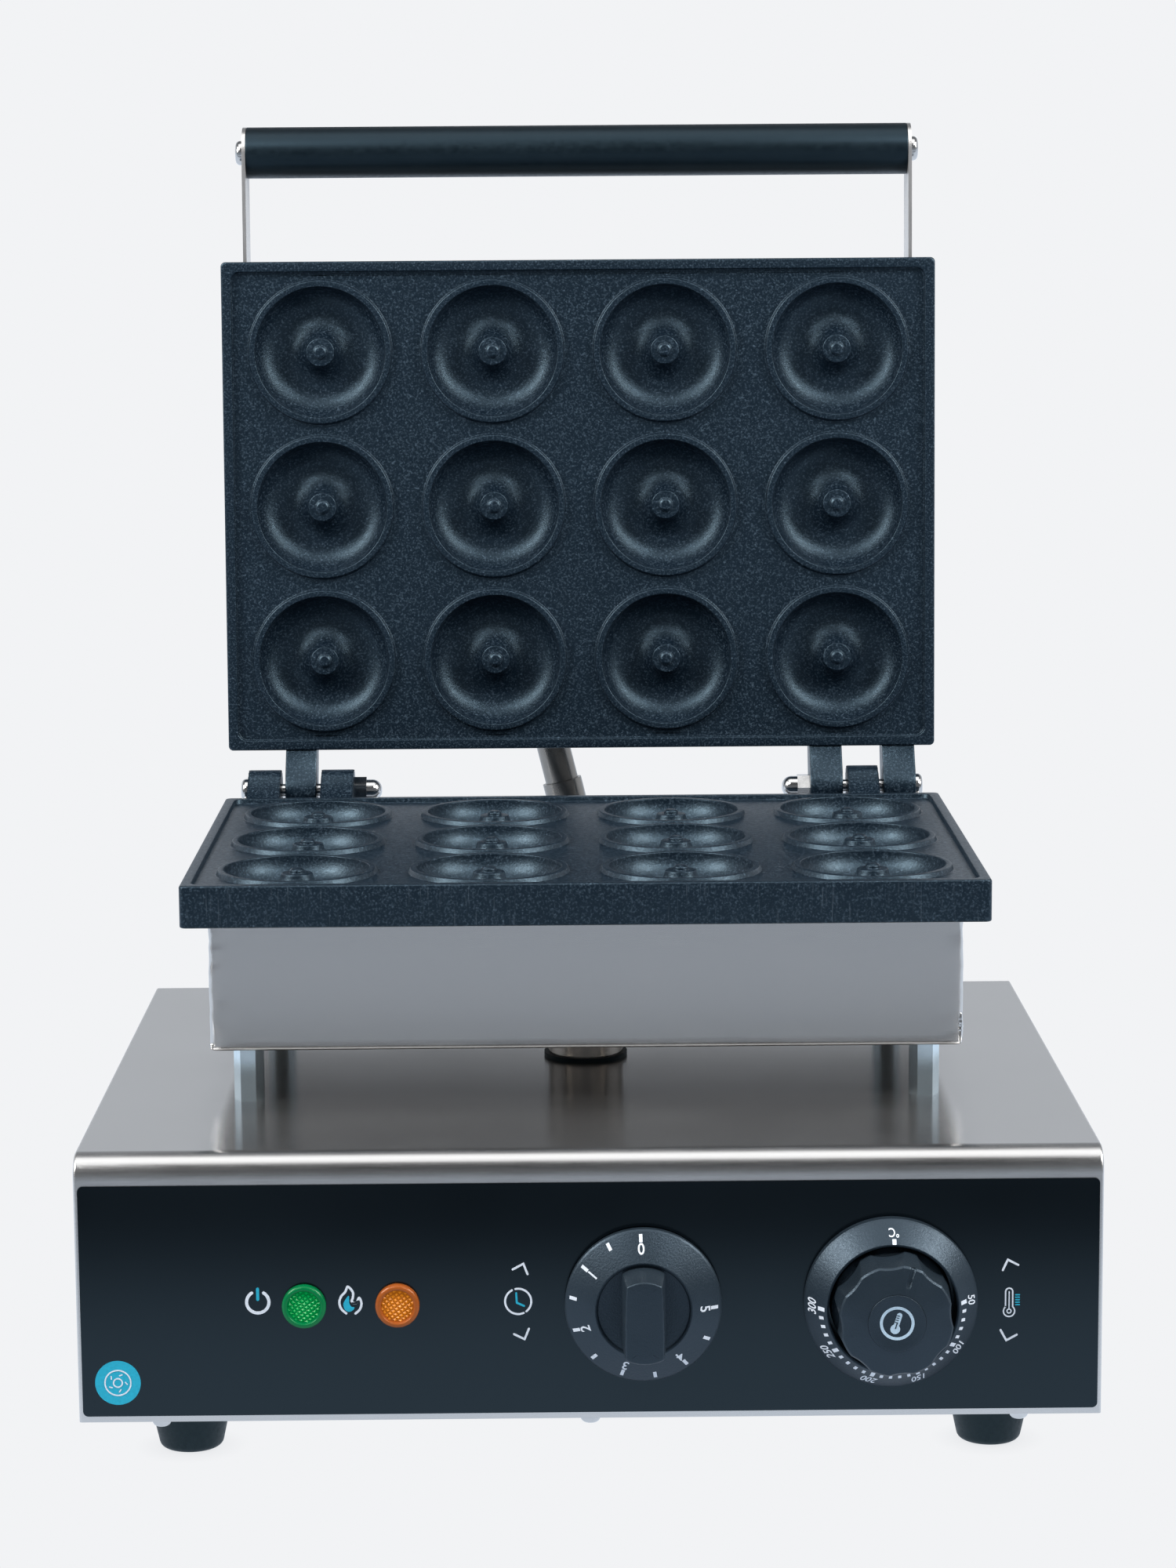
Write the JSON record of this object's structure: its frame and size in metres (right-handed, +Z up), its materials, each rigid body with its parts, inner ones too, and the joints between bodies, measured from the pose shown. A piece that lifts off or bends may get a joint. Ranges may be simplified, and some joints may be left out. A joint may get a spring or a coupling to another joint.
{
  "type": "donut maker",
  "caption": "Tabletop electric donut maker: boxed base with dials and lamps, ring-mould plate on a heated housing, hinged lid with a matching plate and bar handle.",
  "frame": {"origin": "on the supporting surface, under the middle of the object's box with the lid open on its stop", "axes": "+Z up; +X to the right as seen from the front; -Y out of the control panel, +Y to the rear"},
  "size_m": [0.373, 0.4134, 0.4866],
  "materials": {
    "brushed_stainless": "brushed stainless sheet, welded and ground corners",
    "polished_steel": "polished bright steel",
    "zinc_steel": "zinc plated, slightly blue",
    "nonstick_casting": "cast aluminium with dark speckled non-stick coating",
    "foot_rubber": "matte black rubber",
    "overlay_film": "matte black printed film",
    "knob_plastic": "satin black moulded plastic, fine texture",
    "handle_black": "satin black phenolic tube",
    "control_plastic": "off-white moulded plastic",
    "green_lens": "clear green lens with pyramid grid",
    "amber_lens": "clear amber lens with pyramid grid",
    "heater_sheath": "heat-tinted steel sheath",
    "copper_tube": "bare copper",
    "ceramic_block": "unglazed white ceramic",
    "ceramic_wool": "white fibre board",
    "wire_sleeve": "silicone sleeve",
    "panel_print": "white screen print",
    "teal_print": "teal screen print"
  },
  "bodies": {
    "base": {"base_shell": "brushed_stainless", "bottom_plate": "brushed_stainless", "bottom_plate_screws": "zinc_steel", "foot_front_left": "foot_rubber", "foot_front_right": "foot_rubber", "foot_rear_left": "foot_rubber", "foot_rear_right": "foot_rubber", "foot_and_standoff_screws": "zinc_steel", "front_overlay": "overlay_film", "timer_body": "control_plastic", "thermostat_body": "control_plastic", "thermostat_scale_ring": "knob_plastic", "green_lamp_lens": "green_lens", "amber_lamp_lens": "amber_lens", "pilot_lamp_bodies": "control_plastic", "control_screws": "zinc_steel", "terminal_block": "ceramic_block", "overheat_cutout": "zinc_steel", "base_wiring": "wire_sleeve", "mains_cable_gland": "knob_plastic", "housing_standoffs": "zinc_steel", "pedestal_pipe": "polished_steel", "pipe_gaskets": "foot_rubber", "pipe_lock_nuts": "zinc_steel", "lower_mould_plate": "nonstick_casting", "lower_heating_element": "heater_sheath", "lower_element_clamp": "zinc_steel", "lower_clamp_screws": "zinc_steel", "lower_insulation": "ceramic_wool", "lower_plate_studs": "zinc_steel", "lower_housing": "brushed_stainless", "hose_gland": "polished_steel", "thermostat_bulb": "copper_tube", "hinge_bolt_left": "polished_steel", "hinge_nut_left": "polished_steel", "conduit_hose": "polished_steel"},
    "lid": {"upper_mould_plate": "nonstick_casting", "upper_heating_element": "heater_sheath", "upper_element_clamp": "zinc_steel", "upper_clamp_screws": "zinc_steel", "upper_insulation": "ceramic_wool", "upper_plate_studs": "zinc_steel", "upper_housing": "brushed_stainless", "upper_housing_nuts": "polished_steel", "handle_bar_left": "brushed_stainless", "handle_bar_right": "brushed_stainless", "handle_bar_screws": "polished_steel", "handle_tube": "handle_black", "handle_tie_rod": "zinc_steel", "handle_end_screws": "polished_steel", "hinge_bolt_right": "polished_steel", "hinge_nut_right": "polished_steel", "conduit_tube": "polished_steel", "conduit_wall_nut": "polished_steel", "conduit_ferrule": "polished_steel"},
    "timer_dial": {"timer_knob": "knob_plastic", "timer_shaft": "zinc_steel"},
    "thermostat_dial": {"thermostat_knob": "knob_plastic", "thermostat_shaft": "zinc_steel", "thermostat_knob_cap": "knob_plastic"}
  },
  "joints": [
    {"name": "lid_hinge", "type": "hinge", "parent": "base", "child": "lid", "pos_m": [0, 0.12051, 0.2022], "axis": [1, 0, 0], "range_deg": [0, 93], "deforming": ["conduit_hose"]},
    {"name": "timer_turn", "type": "hinge", "parent": "base", "child": "timer_dial", "pos_m": [0.0194, -0.17838, 0.06], "axis": [0, 1, 0], "range_deg": [0, 268]},
    {"name": "thermostat_turn", "type": "hinge", "parent": "base", "child": "thermostat_dial", "pos_m": [0.1092, -0.17838, 0.06], "axis": [0, 1, 0], "range_deg": [-17, 248]}
  ]
}
